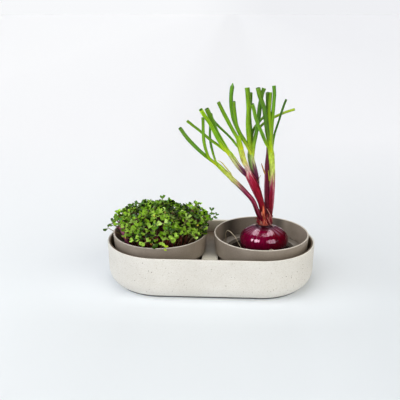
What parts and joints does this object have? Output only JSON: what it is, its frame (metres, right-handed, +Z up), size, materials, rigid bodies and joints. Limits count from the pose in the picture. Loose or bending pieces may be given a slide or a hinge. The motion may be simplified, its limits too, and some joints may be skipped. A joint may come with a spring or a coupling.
{
  "type": "sprouting bowl",
  "caption": "Long round-ended tray with lift-out stepped round growing bowls, sieve inserts, a dome of young radish greens and a sprouting red onion.",
  "frame": {"origin": "centre of the tray's flat underside, on the surface it stands on", "axes": "+X along the tray towards the onion bowl, +Y to the back, +Z up"},
  "size_m": [0.2794, 0.1476, 0.2655],
  "materials": {
    "cream_plastic": "matte cream with fine grey-brown specks",
    "taupe_plastic": "matte taupe",
    "growing_medium": "damp dark coir",
    "greens": "fresh seedling leaves",
    "onion_skin": "glossy deep magenta skin",
    "onion_papery_skin": "dry papery skin",
    "onion_stem": "satin magenta leaf sheath",
    "onion_leaf": "waxy green hollow leaf",
    "root": "pale dry root"
  },
  "bodies": {
    "tray": {"tray_shell": "cream_plastic", "tray_liner": "taupe_plastic"},
    "left_bowl": {"bowl_left": "taupe_plastic"},
    "right_bowl": {"bowl_right": "taupe_plastic"},
    "left_insert": {"sieve_insert_left": "taupe_plastic", "growing_medium_left": "growing_medium", "radish_greens": "greens"},
    "right_insert": {"sieve_insert_right": "taupe_plastic", "growing_medium_right": "growing_medium", "onion_bulb": "onion_skin", "onion_neck": "onion_papery_skin", "stem_left": "onion_stem", "stem_middle": "onion_stem", "stem_right": "onion_stem", "sheath_middle_a": "onion_stem", "sheath_middle_b": "onion_leaf", "sheath_middle_c": "onion_stem", "leaf_left_1": "onion_leaf", "leaf_left_2": "onion_leaf", "leaf_left_3": "onion_leaf", "leaf_middle_1": "onion_leaf", "leaf_middle_2": "onion_leaf", "leaf_middle_3": "onion_leaf", "leaf_middle_4": "onion_leaf", "leaf_middle_5": "onion_leaf", "leaf_middle_6": "onion_leaf", "leaf_middle_7": "onion_leaf", "leaf_middle_8": "onion_leaf", "leaf_middle_9": "onion_leaf", "leaf_middle_10": "onion_leaf", "leaf_middle_11": "onion_leaf", "leaf_middle_12": "onion_leaf", "leaf_right_1": "onion_leaf", "leaf_right_2": "onion_leaf", "leaf_right_3": "onion_leaf", "leaf_right_4": "onion_leaf", "leaf_right_5": "onion_leaf", "leaf_right_6": "onion_leaf", "root_left": "root", "root_front": "root"}
  },
  "joints": [
    {"name": "left_bowl_lift", "type": "slide", "parent": "tray", "child": "left_bowl", "axis": [0, 0, 1], "range_m": [0, 0.0555]},
    {"name": "right_bowl_lift", "type": "slide", "parent": "tray", "child": "right_bowl", "axis": [0, 0, 1], "range_m": [0, 0.0555]},
    {"name": "left_insert_lift", "type": "slide", "parent": "left_bowl", "child": "left_insert", "axis": [0, 0, 1], "range_m": [0, 0.0365]},
    {"name": "right_insert_lift", "type": "slide", "parent": "right_bowl", "child": "right_insert", "axis": [0, 0, 1], "range_m": [0, 0.0365]}
  ]
}
